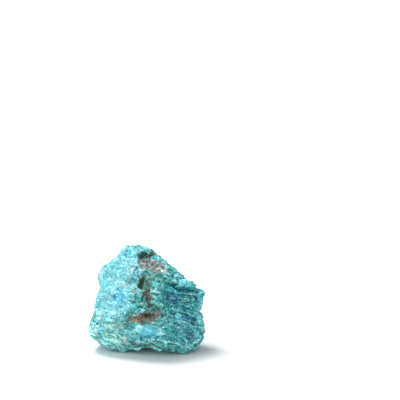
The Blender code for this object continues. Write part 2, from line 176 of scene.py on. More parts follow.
# Sheets: the right of the stone is a stack of thin sheets that dip to the right. The reach is
# how far they slide, and the border is how much of their thickness joins one to the next
SHEET_NORMAL = np.array([0.290, 0.190, 0.938])
Sheet = namedtuple("Sheet", "thickness reach border seed")
SHEETS_MM = [Sheet(2.5, 0.85, 0.45, 41), Sheet(1.1, 0.2, 0.4, 51)]
SHEET_BENDS_MM = [(12.0, 0.6), (3.0, 0.2)]  # size, and height in thicknesses
SHEET_WAVE = (8.0 * MM, 0.7)  # size and height of the waves in a layer's edge
SHEET_BREAK = (6.0 * MM, 0.5)  # and of its straight breaks
LAYER_OFFSET = np.array([17.3, 5.1, 9.7]) * MM
GROOVE_SIZE = 5.0 * MM  # how often a groove goes from deep to shallow
GROOVE_SHARE = 0.6  # half its width, as a share of the border

# The sheeted part begins right of the middle and is weaker low down
SHEETED_FROM = 5.0 * MM
SHEETED_STRAY = (9.0 * MM, 3.0 * MM, 31)  # size, height and seed of what bends its border
SHEETED_FADE = 5.0 * MM
SHEETED_LOW = (12.0 * MM, 18.0 * MM, 0.15)  # weakest below the first height, in full above the other
SHEETED_SLOPE = 0.3  # those heights fall towards the right

# Odd numbers that mix the bits of a lattice cell's indices
MIX = [np.uint32(number) for number in (374761393, 668265263, 2246822519, 3266489917)]

# Colour patches of the front, laid on in this order: place of the middle, half width, half
# height, turn, softness, how strongly it covers, and the colour. Most are the stone's own colour
# as it looks in daylight; those named shade or glint, and those marked below, are painted light
# in full or in part
Patch = namedtuple("Patch", "x v half_width half_height turn softness strength colour")
PATCHES_MM = {
    "left_face": (-11.0, 7.1, 10.2, 16.6, -22, 0.25, 1.0, "80c4d0"),
    "left_face_low": (-14.1, -1.2, 8.3, 5.3, 0, 0.4, 0.9, "80c0c8"),
    "left_face_peak": (-7.3, 18.4, 3.4, 3.8, -30, 0.6, 0.9, "74c8d8"),
    "peak_cyan": (-5.4, 18.8, 1.9, 1.5, 0, 0.9, 0.8, "74c0d4"),
    "left_face_cool": (-13.3, 11.6, 3.0, 4.5, -10, 0.8, 0.7, "68b0b8"),
    "left_face_teal": (-11.0, 13.1, 2.3, 1.5, 30, 0.9, 0.7, "5cacb8"),
    "left_face_pale": (-5.7, 12.4, 3.4, 4.5, 0, 0.7, 0.8, "98c4c8"),
    "left_face_pale_low": (-11.0, 6.3, 3.0, 3.4, 0, 0.8, 0.7, "98d0d8"),
    "left_face_shade": (-5.7, 7.4, 2.6, 1.5, 0, 0.7, 0.8, "5c9498"),
    "left_face_white": (-8.0, 5.6, 2.6, 1.9, 10, 0.9, 0.7, "a4b8b4"),
    "left_face_tip": (-4.2, 5.6, 1.9, 1.5, 0, 0.8, 0.7, "acdcd4"),
    "left_lobe": (-17.5, 9.7, 2.3, 4.5, 0, 0.5, 0.9, "88c0c8"),
    "lobe_top": (-16.3, 13.1, 1.9, 1.5, 0, 0.8, 0.7, "68a8b0"),
    "left_green": (-15.6, 5.2, 2.3, 1.9, 0, 0.9, 0.7, "68d0c8"),
    "left_edge_low": (-17.8, 0.3, 2.3, 3.8, 0, 0.8, 0.6, "74b4c8"),
    "blue_patch_left": (-9.5, 1.4, 3.0, 2.6, 0, 0.6, 0.85, "5cb8d8"),
    "blue_core": (-11.0, 1.4, 1.3, 1.4, 0, 0.8, 0.95, "2490c8"),
    "blue_low": (-11.0, -1.2, 2.6, 1.1, 0, 0.8, 0.7, "5cb4cc"),
    "grey_spot": (-9.1, -2.4, 1.5, 1.1, 0, 0.8, 0.7, "689098"),
    "valley_green": (-15.6, -3.9, 3.0, 1.5, 0, 0.8, 0.7, "84ccc8"),
    "valley_white": (-16.3, -6.2, 3.4, 1.5, -8, 0.8, 0.7, "d0f0e8"),
    "valley_mint": (-14.4, -7.3, 2.3, 1.1, 0, 0.8, 0.8, "8cecd8"),
    "teal_left": (-9.9, -5.0, 2.3, 1.9, 0, 0.7, 0.8, "7cbcb0"),
    "white_lump": (-12.5, -6.9, 1.5, 0.9, 0, 0.9, 0.7, "d0f8f8"),
    "foot": (-14.8, -13.7, 9.1, 5.7, -12, 0.3, 0.9, "94c4c0"),
    # Painted highlight on the foot's left edge, where the light falls
    "foot_rim_highlight": (-21.2, -11.8, 1.5, 3.8, 14, 0.7, 0.9, "a8f0f8"),
    "foot_pale": (-18.6, -9.2, 2.6, 1.5, 0, 0.8, 0.7, "c8f8f8"),
    "foot_blue": (-16.7, -10.7, 2.3, 1.5, -20, 0.7, 0.9, "60c0e4"),
    "foot_grey": (-14.4, -11.5, 3.0, 0.9, -10, 0.8, 0.7, "5c8c90"),
    "valley_shade": (-11.0, -8.8, 4.2, 1.1, -6, 0.7, 0.8, "94b0a8"),
    "white_spot": (-19.0, -10.7, 0.9, 0.8, 0, 0.9, 1.0, "c8dcd0"),
    "foot_lilac": (-18.2, -13.0, 2.3, 1.1, 0, 0.8, 0.7, "c8f4f8"),
    "foot_tan": (-17.1, -16.4, 1.9, 1.9, -40, 0.8, 0.8, "ccf0f0"),
    "foot_mint": (-12.9, -14.9, 3.4, 2.6, 0, 0.7, 0.8, "98c8bc"),
    "foot_green": (-9.9, -12.2, 1.5, 1.9, 0, 0.8, 0.7, "6cb89c"),
    "foot_bottom_blue": (-9.5, -18.6, 2.3, 0.9, -10, 0.8, 0.7, "84d4d8"),
    "vein_pink": (-8.0, -14.9, 0.8, 3.8, 4, 0.7, 0.9, "9ca4a4"),
    "foot_teal": (-3.9, -16.0, 4.2, 1.5, -6, 0.6, 0.9, "3c6868"),
    "foot_teal_low": (-5.0, -17.9, 1.9, 0.8, 0, 0.8, 0.8, "84d0c8"),
    "dark_green_ring": (-6.9, -8.4, 1.9, 1.5, 0, 0.7, 0.95, "487878"),
    "middle": (3.3, 4.0, 6.0, 12.1, 8, 0.3, 0.9, "549088"),
    # dark_top and dark_brown are teal and brown stone darkened further as painted shade in the top
    # recess under the rim; top_shade is painted shade there
    "dark_top": (-1.2, 16.9, 2.4, 2.2, 10, 0.5, 1.0, "184840"),
    "dark_top_low": (-2.4, 14.6, 1.3, 1.1, 30, 0.8, 1.0, "64aca8"),
    "dark_brown": (1.5, 17.2, 1.5, 1.0, 15, 0.5, 1.0, "2c2c1c"),
    "top_tan": (0.7, 18.4, 1.5, 0.6, -15, 0.8, 0.8, "b4b0a4"),
    "top_rim": (0.3, 19.9, 3.0, 0.8, -8, 0.6, 0.9, "a4dcd0"),
    "top_green": (3.7, 17.7, 1.1, 0.7, -40, 0.8, 0.9, "2c9878"),
    "top_shade": (2.6, 17.9, 2.2, 1.4, -30, 0.8, 0.95, "3c5c4c"),
    "pink_patch": (1.3, 13.7, 5.2, 2.9, -14, 0.35, 1.0, "808c88"),
    "pink_core": (2.2, 15.0, 1.5, 1.1, -20, 0.8, 0.8, "988c8c"),
    "pink_right": (6.0, 12.8, 2.6, 1.4, -24, 0.7, 0.95, "888080"),
    "pink_low": (4.1, 10.9, 2.8, 1.1, 0, 0.8, 0.9, "8c807c"),
    "white_specks": (-1.2, 11.2, 1.5, 0.9, 10, 0.8, 0.9, "c0d4c8"),
    "green_specks": (1.4, 11.6, 1.1, 1.9, 0, 0.9, 0.7, "6c8c80"),
    "white_speck_right": (6.0, 10.8, 0.8, 0.6, 0, 0.9, 1.0, "d4e0d4"),
    "pale_right": (7.1, 10.8, 1.9, 1.1, -10, 0.8, 0.8, "c4c8b8"),
    "right_rim": (7.1, 14.3, 4.9, 1.3, -40, 0.5, 0.95, "80d0cc"),
    "rim_teal": (5.6, 15.0, 1.9, 0.8, -35, 0.8, 0.8, "509894"),
    "rim_cyan": (10.9, 11.2, 1.5, 0.6, -10, 0.8, 0.95, "90f8f8"),
    "green_mottled": (2.9, 9.0, 3.0, 1.1, 0, 0.7, 0.8, "509890"),
    "teal_right": (7.5, 7.1, 3.4, 3.4, 0, 0.6, 0.8, "3c908c"),
    "pale_mottle": (3.7, 6.3, 1.9, 1.5, 0, 0.8, 0.8, "54c0bc"),
    "blue_pale": (4.1, 4.0, 1.9, 1.1, 0, 0.8, 0.8, "84c0cc"),
    "dark_mottle": (7.9, 4.0, 1.1, 1.1, 0, 0.8, 0.9, "185458"),
    "dark_mottle_low": (6.4, 1.4, 2.3, 1.1, 0, 0.8, 0.7, "28786c"),
    # The cavity: olive stone, painted darker as shade in the hollow
    "cavity": (-1.4, 6.7, 1.7, 3.2, -4, 0.45, 1.0, "40503c"),
    "cavity_top": (-0.5, 9.3, 1.9, 1.1, -10, 0.7, 0.95, "486860"),
    "cavity_tail": (-3.5, 4.4, 1.5, 0.6, 20, 0.8, 0.95, "4c8080"),
    "pillar": (0.7, 5.6, 0.9, 1.9, 0, 0.8, 0.8, "506060"),
    "pillar_dark": (0.7, 6.9, 0.8, 0.5, -20, 0.8, 1.0, "2c4040"),
    "tan_spot": (-4.2, 3.3, 1.5, 0.8, -10, 0.7, 0.8, "8c8c78"),
    "tan_spot_right": (-2.3, 3.3, 1.1, 1.1, 0, 0.8, 0.7, "98bcbc"),
    "teal_middle": (-3.5, -0.5, 3.8, 3.4, 0, 0.5, 0.85, "509894"),
    "teal_middle_dark": (-5.0, -0.1, 1.5, 0.8, -10, 0.8, 0.8, "4c7c80"),
    "dark_teal_spot": (-0.8, 1.0, 0.9, 1.7, 0, 0.7, 0.95, "185454"),
    "bright_teal": (-2.0, -2.6, 1.1, 1.3, -20, 0.7, 0.9, "30a094"),
    "blue_middle": (-4.2, -2.0, 1.9, 1.3, 0, 0.8, 0.8, "58d8e0"),
    "lilac_spot": (-1.6, -0.9, 0.9, 0.6, 0, 0.8, 0.9, "94949c"),
    "slate_teal": (0.3, -2.8, 1.3, 1.9, 0, 0.7, 0.85, "346060"),
    # The crevice: brown-grey stone, with painted shade down its left side and at its foot
    "crevice": (1.1, 2.2, 1.7, 4.2, 6, 0.5, 1.0, "50584c"),
    "crevice_line": (0.6, 3.0, 0.6, 2.3, 8, 0.8, 0.95, "444c44"),
    "crevice_edge": (-0.3, 2.5, 0.5, 1.9, 0, 0.8, 0.9, "386058"),
    "crevice_low": (1.4, -1.2, 1.5, 1.9, 15, 0.6, 0.95, "3c4c40"),
    "crevice_dark": (2.2, -1.8, 1.1, 0.9, -30, 0.8, 1.0, "203430"),
    "white_diagonal": (5.2, -0.1, 1.7, 3.0, 28, 0.6, 0.85, "74c8cc"),
    "white_lump_low": (3.7, -0.9, 1.1, 1.1, 0, 0.8, 0.9, "6cb8cc"),
    "gully": (-0.6, -6.2, 8.2, 2.7, 8, 0.9, 1.0, "645848"),
    "gully_dark": (0.3, -5.4, 3.4, 1.3, 6, 1.0, 0.95, "383024"),
    "gully_left": (-5.4, -4.6, 1.5, 0.9, -10, 0.8, 0.7, "40605c"),
    "gully_lilac": (-3.9, -5.2, 1.1, 0.6, 0, 0.8, 0.7, "8c9894"),
    "gully_orange": (-3.7, -7.1, 1.1, 1.2, -30, 0.9, 1.0, "9c7440"),
    "gully_brown_left": (-5.6, -6.4, 2.4, 1.2, 10, 1.0, 0.9, "5c5044"),
    "gully_low": (-0.5, -8.2, 2.3, 0.7, 0, 0.8, 0.7, "4c7068"),
    "gully_pink": (4.1, -4.6, 1.7, 2.1, -20, 0.6, 0.95, "707474"),
    "gully_pink_right": (5.0, -5.8, 0.8, 0.9, 0, 0.8, 0.8, "a89098"),
    "gully_green": (1.8, -3.5, 1.1, 0.8, 0, 0.8, 0.5, "487054"),
    "dark_spot": (6.0, -5.2, 0.8, 0.8, 0, 0.8, 0.95, "2c5c60"),
    "green_under": (4.1, -8.1, 1.9, 0.9, -10, 0.7, 0.7, "48987c"),
    "smooth_patch": (0.8, -11.3, 5.8, 2.5, -6, 0.5, 1.0, "60bccc"),
    # Painted highlight on the upper left of the glossy smooth bulge
    "smooth_highlight": (-2.0, -9.8, 2.6, 1.3, 0, 0.8, 0.95, "b0e8d8"),
    "smooth_blue": (-2.3, -12.2, 2.3, 0.8, 10, 0.8, 0.8, "38acd0"),
    "smooth_right": (4.8, -11.5, 1.5, 2.3, 10, 0.7, 0.8, "a0e0e0"),
    "right_side": (13.9, 1.0, 10.2, 8.3, -14, 0.3, 0.95, "3498a0"),
    "blue_streak_top": (10.1, 9.0, 0.9, 1.9, 0, 0.7, 0.95, "287480"),
    "purple_spot": (10.3, 6.7, 1.3, 0.9, 0, 0.8, 0.9, "205864"),
    "slab": (15.2, 6.1, 4.0, 1.3, -14, 0.45, 0.95, "50c8d4"),
    "slab_line": (14.8, 7.3, 3.8, 0.8, -14, 0.4, 1.0, "94ecf0"),
    "slab_blue": (14.5, 5.9, 2.2, 0.6, -14, 0.8, 0.95, "2098b8"),
    "slab_green": (17.3, 5.6, 1.1, 0.8, -16, 0.8, 0.95, "1c7470"),
    "slab_tip": (17.2, 6.9, 1.6, 0.5, 6, 0.7, 1.0, "58b8b8"),
    "slab_lower_line": (15.8, 4.9, 3.4, 0.6, -14, 0.5, 1.0, "7ce4e8"),
    # Painted shade in the gap under the slab
    "under_slab_shade": (13.9, 4.0, 3.4, 0.8, -8, 0.7, 0.85, "6ca8ac"),
    "yellow_green_spot": (13.2, 5.2, 0.8, 0.4, 0, 0.9, 0.9, "7cc8c0"),
    # Painted shadow: a dark line under the slab
    "slab_shadow_line": (17.3, 3.5, 2.4, 0.5, -10, 0.7, 0.9, "204c50"),
    "nose": (21.1, 2.3, 1.7, 2.7, 0, 0.6, 0.95, "2098b0"),
    "nose_green": (20.3, 2.5, 0.7, 0.6, 0, 0.9, 0.9, "40e8d8"),
    "nose_top": (20.3, 4.4, 1.5, 0.6, -20, 0.8, 0.9, "78d4d4"),
    "blue_patch_right": (11.6, 2.6, 2.4, 1.9, 0, 0.7, 0.9, "28a0c0"),
    "deep_blue": (9.8, 0.5, 2.8, 2.3, 0, 0.6, 0.95, "1c7498"),
    "lilac_right": (14.3, 1.2, 0.9, 0.6, 0, 0.8, 0.8, "3c7ca0"),
    "dark_ledge": (17.3, 0.6, 2.3, 0.8, -10, 0.7, 0.85, "246870"),
    "dark_teal_corner": (7.5, -0.9, 0.9, 0.9, 0, 0.8, 0.9, "205054"),
    "olive_lens": (13.5, -0.9, 2.6, 1.1, -8, 0.6, 0.9, "488888"),
    "olive_lens_dark": (12.8, -2.0, 2.6, 0.4, -4, 0.8, 0.9, "285858"),
    "white_dash": (15.6, -2.0, 0.9, 0.4, 0, 0.8, 0.95, "94dcd8"),
    "pale_ledge": (18.4, -2.6, 2.5, 1.7, 0, 0.6, 0.85, "54c0c8"),
    "dark_dash": (8.4, -2.3, 1.5, 0.4, 0, 0.8, 1.0, "104848"),
    "pale_line": (10.1, -2.9, 2.6, 0.6, -12, 0.7, 0.9, "70ccd8"),
    "blue_dash": (13.2, -3.3, 1.5, 0.6, -20, 0.8, 0.9, "2ca0b0"),
    "teal_pocket": (9.8, -4.5, 1.1, 0.9, 0, 0.8, 0.85, "1c8074"),
    "pale_pocket": (8.1, -4.6, 0.9, 0.8, 0, 0.8, 0.85, "74d0dc"),
    "lower_right": (14.7, -10.7, 9.1, 6.4, 0, 0.25, 0.9, "4098a0"),
    "dome": (12.4, -5.8, 2.1, 1.9, 0, 0.6, 0.8, "50c0d0"),
    "blue_spot": (15.2, -6.2, 2.0, 1.5, 0, 0.7, 0.95, "2080b0"),
    # The dark hollow: teal stone, painted darker as shade in the hollow
    "dark_hollow": (17.7, -7.9, 1.4, 1.6, 0, 0.6, 0.95, "206c74"),
    "rim_right_pale": (19.4, -7.7, 0.8, 3.0, 12, 0.7, 0.9, "88e0e0"),
    "teal_right_edge": (20.9, -6.7, 0.8, 1.3, 0, 0.7, 0.9, "289894"),
    "blue_right_edge": (21.3, -8.4, 0.6, 0.9, 0, 0.7, 0.9, "186068"),
    "grey_pink": (8.6, -6.5, 1.5, 0.8, -10, 0.8, 0.85, "649098"),
    "pink_spot_right": (7.1, -7.5, 0.8, 0.6, 0, 0.8, 0.9, "94bcc0"),
    "teal_spot_low": (8.6, -10.5, 0.8, 0.8, 0, 0.7, 0.95, "2ca8ac"),
    "teal_bank": (11.3, -9.9, 1.9, 0.9, -20, 0.7, 0.85, "246c74"),
    "dark_facet": (15.6, -12.4, 2.3, 2.5, 0, 0.4, 0.95, "307884"),
    "facet_dark_low": (15.0, -13.7, 1.5, 0.9, 0, 0.8, 0.9, "205c60"),
    "facet_slate": (17.3, -12.6, 0.8, 1.3, 0, 0.8, 0.8, "387088"),
    "facet_rim": (19.4, -12.6, 0.8, 3.0, 0, 0.7, 0.8, "50b0c0"),
    "vivid_blue": (20.7, -12.8, 1.0, 2.1, 0, 0.7, 0.95, "2c80cc"),
    "pale_cheek": (11.3, -13.3, 1.7, 1.9, -20, 0.7, 0.8, "40acb0"),
    "rib": (13.5, -13.0, 0.5, 3.0, 22, 0.7, 0.85, "5cb0c0"),
    "low_green": (5.2, -15.2, 2.3, 1.3, -14, 0.7, 0.8, "3c7878"),
    "long_streak": (9.4, -15.2, 5.3, 0.5, -24, 0.7, 0.85, "a0f0e8"),
    "lip_line": (9.0, -15.4, 4.9, 0.6, -30, 0.4, 1.0, "a0e8e4"),
    "lip_line_low": (2.9, -17.5, 4.5, 0.6, -24, 0.4, 1.0, "60b4b0"),
    "lip_line_right": (14.3, -14.5, 3.4, 0.6, -33, 0.4, 1.0, "84d8dc"),
    "lip_crack": (4.8, -16.2, 4.2, 0.5, -27, 0.4, 1.0, "1c484c"),
    "lip_crack_right": (10.9, -16.4, 3.4, 0.5, -30, 0.4, 1.0, "2c6468"),
    "blue_streak_low": (8.2, -16.2, 1.1, 0.5, -20, 0.8, 0.9, "34a8b0"),
    "yellow_glint": (16.2, -15.8, 1.2, 0.6, 10, 0.8, 0.95, "94d4c8"),
    "teal_dot": (18.4, -16.9, 1.0, 0.6, -10, 0.6, 0.95, "289c6c"),
    "bottom_strip": (9.4, -17.1, 12.9, 1.4, -8, 0.6, 0.7, "4ca8a0"),
    "strip_pink": (1.1, -15.2, 4.5, 0.6, -16, 0.8, 0.8, "4c7878"),
    "strip_teal": (2.0, -16.2, 5.4, 1.2, -14, 0.8, 0.9, "3c706c"),
    "strip_dark": (7.1, -17.9, 3.4, 0.5, -8, 0.8, 0.8, "285858"),
    "bottom_right_pale": (16.2, -17.9, 3.4, 0.9, 4, 0.7, 0.8, "50a8b4"),
}
FRAY = [(0.9 * MM, 0.35, 111), (0.45 * MM, 0.25, 112)]  # size, height and seed of the fraying noise

# Away from the patches: the colours, and the size, sharpness and seed of their clouds
BODY_COLOURS = ["4098a4", "74c4cc", "2c8090", "64aca4", "90d0d4"]
BODY_CLOUDS = (7.0 * MM, 3.2, 101)

# Hollows and edges, where shade and highlights are painted: rounds of smoothing, and the
# height above the smooth surface that counts as one
EDGE_RELIEF = (5, 0.22 * MM)
BROW_RELIEF = (50, 0.8 * MM)

BLUE_ENOUGH = (0.0, 0.22)  # below this lead of blue over red a place is earthy, above it fully blue
LEFT_FACE_EVEN = 0.65  # how much less the left face varies
POLISH_EVEN = 0.8  # and the polished places

# Sizes of the patterns in the mineral, and how much they are squeezed across the sheets
BEND_SIZE = 0.8 * MM
BEND_REACH = 1.1 * MM
CLOUD_SIZE = 2.6 * MM
LIGHT_SIZE = 2.2 * MM
SPECK_SIZE = 0.8 * MM
GRAIN_SIZE = 0.5 * MM
SHARD_SIZE = 1.5 * MM
CRYSTAL_SIZE = 0.7 * MM
STREAK_SIZE = 5.0 * MM
SQUEEZE = 0.7
STREAK_SQUEEZE = 9.0

# What the laid-on colour is multiplied by in each kind of place
SHADES = {
    "teal": (0.30, 0.84, 0.72, 1),
    "blue": (0.30, 0.95, 1.08, 1),
    "deep": (0.04, 0.55, 0.60, 1),
    "pale": (1.4, 1.4, 1.35, 1),
    "cream": (1.7, 1.8, 1.9, 1),
    "rust": (1.2, 0.9, 0.82, 1),
    "soil": (0.22, 0.25, 0.22, 1),
}
CLEAR = (0.4, 0.96, 1.0, 1)  # the same for dark grains, which light shines through
CLEAR_SHARE = 0.6
FROST = (0.75, 1.0, 0.97, 1)  # mixed into the pale places
FROST_SHARE = 0.22
# Painted glints: pale flecks on some grains stand in for small highlights, in this colour and share
GLINT = (0.80, 0.97, 0.96, 1)
GLINT_SHARE = 0.35
DEPTH_LEAST = 0.35  # how dark the painted shade in hollows, and the deep streaks, get where the stone is even
MIDDLE_GREY = (0.5, 0.5, 0.5)

# Tone: its middle, and how far the noise, the grains and the shards move it
BRIGHTNESS = 1.08
LIGHT_SWING = 0.65
GRAIN_SWING = 0.75
SHARD_SWING = 0.2
EVEN_SWING = 0.4  # the share of it that is left where the stone is even
POLISH_SWING = 0.3

ROUGHNESS = 0.7
GRAIN_GLOSS = 0.35
POLISH_GLOSS = 0.15
POLISH_SMOOTHS = 0.8  # how much of the grain is gone on polished places
SPECULAR = 0.09
BUMP_STRENGTH = 0.6
BUMP_DEPTH = 0.25 * MM

# The camera and the stone's place in the picture
FOCAL_MM = 100.0
SENSOR_MM = 36.0
PICTURE_SIZE = 400
CAMERA_PITCH = np.radians(9.0)
CAMERA_DISTANCE = 0.42
STONE_PIXEL = (147.2, 300.7)

# The floor: flat out to a radius, then a rim that curves up
FLOOR_SIDES = 96
FLOOR_RINGS = (0.2, 0.8)
RIM_RADIUS = 0.5
RIM_STEPS = 16
FLOOR_WHITE = 0.93
FLOOR_ROUGHNESS = 0.9
GLOW_FROM_TO = (0.06, 0.6)  # the floor glows more with distance, as a lit backdrop does
GLOW = 0.4

# Lights: place, size and watts. They face the stone's middle
LIGHTS = {
    "key_light": ((-0.40, -0.30, 0.50), 0.55, 1.35),
    "top_light": ((-0.26, 0.13, 0.80), 0.34, 6.0),
}
AIM = Vector((0, 0, 0.02))
ROOM_LIGHT = 0.34


def hashed(cells, seed):
    """A repeatable number from 0 to 1 for each whole-number cell: the bits of its indices, mixed."""
    index = cells.astype(np.int64).astype(np.uint32)
    mixed = index[..., 0] * MIX[0] + index[..., 1] * MIX[1] + index[..., 2] * MIX[2]
    mixed = mixed + np.uint32(seed * int(MIX[3]) % 2**32)
    for shift, factor in ((15, MIX[2]), (13, MIX[3])):
        mixed = (mixed ^ (mixed >> np.uint32(shift))) * factor
    mixed = mixed ^ (mixed >> np.uint32(16))
    return mixed / 2.0**32


def smooth_noise(points, size, seed):
    """Random heights from -1 to 1 on a cubic lattice of that size, joined by smooth curves."""
    scaled = points / size
    base = np.floor(scaled)
    part = scaled - base
    ease = part * part * (3 - 2 * part)
    total = np.zeros(len(points))
    for corner in product((0, 1), repeat=3):
        weight = np.prod(np.where(corner, ease, 1 - ease), axis=1)
        total += weight * hashed(base + corner, seed)
    return 2 * total - 1


def chips(points, size, seed):
    """Flat chips: each lattice cell holds a random centre, and a point takes the tilted plane of
    its nearest centre, eased into the next one's near their border. Heights are about -1 to 1."""
    scaled = points / size
    base = np.floor(scaled)
    near = np.full(len(points), np.inf)
    far = np.full(len(points), np.inf)
    near_height = np.zeros(len(points))
    far_height = np.zeros(len(points))
    for offset in product((-1, 0, 1), repeat=3):
        cell = base + offset
        draws = [hashed(cell, seed + number) for number in range(7)]
        away = scaled - cell - np.stack(draws[0:3], axis=1)
        tilt = 2 * np.stack(draws[3:6], axis=1) - 1
        height = (away * tilt).sum(axis=1) + CHIP_LIFT * (2 * draws[6] - 1)
        distance = np.sqrt((away**2).sum(axis=1))
        nearest = distance < near
        second = ~nearest & (distance < far)
        far_height = np.where(nearest, near_height, np.where(second, height, far_height))
        far = np.where(nearest, near, np.where(second, distance, far))
        near_height = np.where(nearest, height, near_height)
        near = np.where(nearest, distance, near)
    own = (1 + np.clip((far - near) / CHIP_BORDER, 0, 1)) / 2
    return own * near_height + (1 - own) * far_height


def smooth_step(low, high, value):
    """0 below the low value, 1 above the high one, and a smooth curve between."""
    part = np.clip((value - low) / (high - low), 0, 1)
    return part * part * (3 - 2 * part)


def sphere_grid(cells):
    """Unit directions to the points of a cube's six faces, each a grid of two parameters with
    cells x cells squares, and those squares. A parameter t from -1 to 1 stands at tan(t pi/4),
    so that the squares come out even on a sphere. Points shared by two faces are one."""
    first, second = np.meshgrid(np.arange(cells + 1), np.arange(cells + 1), indexing="ij")
    sides = []
    for axis, end in product(range(3), (0, cells)):
        place = np.empty((cells + 1, cells + 1, 3), dtype=int)
        place[..., axis] = end
        place[..., (axis + 1) % 3] = first if end else second
        place[..., (axis + 2) % 3] = second if end else first
        sides.append(place.reshape(-1, 3))
    lattice, where = np.unique(np.concatenate(sides), axis=0, return_inverse=True)
    where = where.reshape(6, cells + 1, cells + 1)
    corners = [where[:, :-1, :-1], where[:, 1:, :-1], where[:, 1:, 1:], where[:, :-1, 1:]]
    spread = np.tan((2 * lattice / cells - 1) * np.pi / 4)
    directions = spread / np.linalg.norm(spread, axis=1, keepdims=True)
    return directions, np.stack(corners, axis=-1).reshape(-1, 4)


def sight_frame():
    """Unit vectors to the right of the picture, away from the viewer and up the picture, as rows."""
    sine, cosine = np.sin(SIGHT_DROP), np.cos(SIGHT_DROP)
    return np.array([[1.0, 0.0, 0.0], [0.0, cosine, -sine], [0.0, sine, cosine]])


def in_picture(points):
    """How far each point lies right of the centre, behind it and above it, as the picture sees it."""
    return ((points - CENTRE) @ sight_frame().T).T


def outline_reach(angle):
    """The outline's distance from the centre at that angle, anticlockwise from the right."""
    corners = np.array(OUTLINE_MM) * MM
    angles = np.arctan2(corners[:, 1], corners[:, 0])
    order = np.argsort(angles)
    lengths = np.hypot(corners[:, 0], corners[:, 1])
    return np.interp(angle, angles[order], lengths[order], period=2 * np.pi)


def body_reach(directions):
    """Distance from the centre to the untrimmed body: a block with rounded corners whose
    cross-section to the line of sight is the outline."""
    across, depth, rise = (directions @ sight_frame().T).T
    outline = outline_reach(np.arctan2(rise, across))
    half_depth = np.where(depth < 0, HALF_DEPTH_FRONT, HALF_DEPTH_BACK)
    flat = (np.hypot(across, rise) / outline) ** CORNER
    deep = (np.abs(depth) / half_depth) ** CORNER
    return (flat + deep) ** (-1 / CORNER)


def face_normal(face):
    azimuth, elevation = np.radians(face.azimuth), np.radians(face.elevation)
    level = np.array([np.sin(azimuth), -np.cos(azimuth)]) * np.cos(elevation)
    return np.array([*level, np.sin(elevation)])


def reach_to_plane(directions, normal, distance):
    """How far each direction runs before it meets a plane, and very far if it never does."""
    towards = directions @ normal
    return np.where(towards > 0, distance / np.maximum(towards, MM), 1.0)


def trimmed_reach(directions):
    """The body's reach, cut short by each broken face, with slightly rounded edges between them."""
    reaches = [body_reach(directions)]
    for face in BROKEN_FACES.values():
        reaches.append(reach_to_plane(directions, face_normal(face), face.distance_mm * MM))
    return -FACE_EDGE_ROUNDING * np.logaddexp.reduce(-np.array(reaches) / FACE_EDGE_ROUNDING, axis=0)


def small_breaks():
    """Directions in a spiral that covers the sphere evenly, each moved a little, and how deep each
    break is."""
    draw = np.random.default_rng(SMALL_BREAK_SEED)
    step = np.arange(SMALL_BREAKS) + 0.5
    height = 1 - 2 * step / SMALL_BREAKS
    turn = step * np.pi * (3 - np.sqrt(5))
    ring = np.sqrt(1 - height**2)
    spiral = np.stack([ring * np.cos(turn), ring * np.sin(turn), height], axis=1)
    spiral += draw.normal(0, SMALL_BREAK_SCATTER, spiral.shape)
    normals = spiral / np.linalg.norm(spiral, axis=1, keepdims=True)
    facing = smooth_step(*SMALL_BREAK_FACING, np.abs(normals @ sight_frame()[1]))
    share = SMALL_BREAK_LEAST + (1 - SMALL_BREAK_LEAST) * draw.random(SMALL_BREAKS)
    return normals, SMALL_BREAK_DEPTH * share * facing


def broken_reach(directions):
    """The trimmed body's reach, with each small break taken off where the body stands out furthest."""
    reach = trimmed_reach(directions)
    points = directions * reach[:, None]
    for normal, depth in zip(*small_breaks()):
        reach = np.minimum(reach, reach_to_plane(directions, normal, (points @ normal).max() - depth))
    return reach


def step_drop(step, x, v):
    """How far a place lies below its old height because of a step."""
    start = np.array([step.x0, step.v0]) * MM
    end = np.array([step.x1, step.v1]) * MM
    length = np.linalg.norm(end - start)
    along_x, along_v = (end - start) / length
    along = (x - start[0]) * along_x + (v - start[1]) * along_v
    aside = (x - start[0]) * along_v - (v - start[1]) * along_x
    ends = smooth_step(0, STEP_ENDS, along) * smooth_step(0, STEP_ENDS, length - along)
    edge = smooth_step(-STEP_BORDER, STEP_BORDER, aside)
    return step.drop * MM * ends * edge * (1 - np.clip(aside / (step.fade * MM), 0, 1))


def spot_share(spot, x, v):
    """How much of a spot or patch a place has: 1 in its middle, 0 outside its oval."""
    turn = np.radians(spot.turn)
    dx, dv = x - spot.x * MM, v - spot.v * MM
    along = (dx * np.cos(turn) + dv * np.sin(turn)) / (spot.half_width * MM)
    across = (dv * np.cos(turn) - dx * np.sin(turn)) / (spot.half_height * MM)
    return 1 - smooth_step(1 - spot.softness, SPOT_RIM, np.hypot(along, across))


def wandered(points):
    """Places in the picture, disturbed so that no border is a clean line or oval."""
    x, depth, v = in_picture(points)
    strays = []
    for seed in WANDER_SEEDS:
        stray = smooth_noise(points, WANDER_SIZE, seed) + chips(points, WANDER_CHIP_SIZE, seed + 1)
        strays.append(WANDER * stray)
    return x + strays[0], depth, v + strays[1]


def front_height(points):
    """The steps, swellings and hollows of the front."""
    x, depth, v = wandered(points)
    height = np.zeros(len(points))
    for spot in SPOTS_MM.values():
        height += spot.height * MM * spot_share(spot, x, v)
    for step in STEPS_MM.values():
        height -= step_drop(step, x, v)
    return height * smooth_step(*FRONT_FADE, depth)


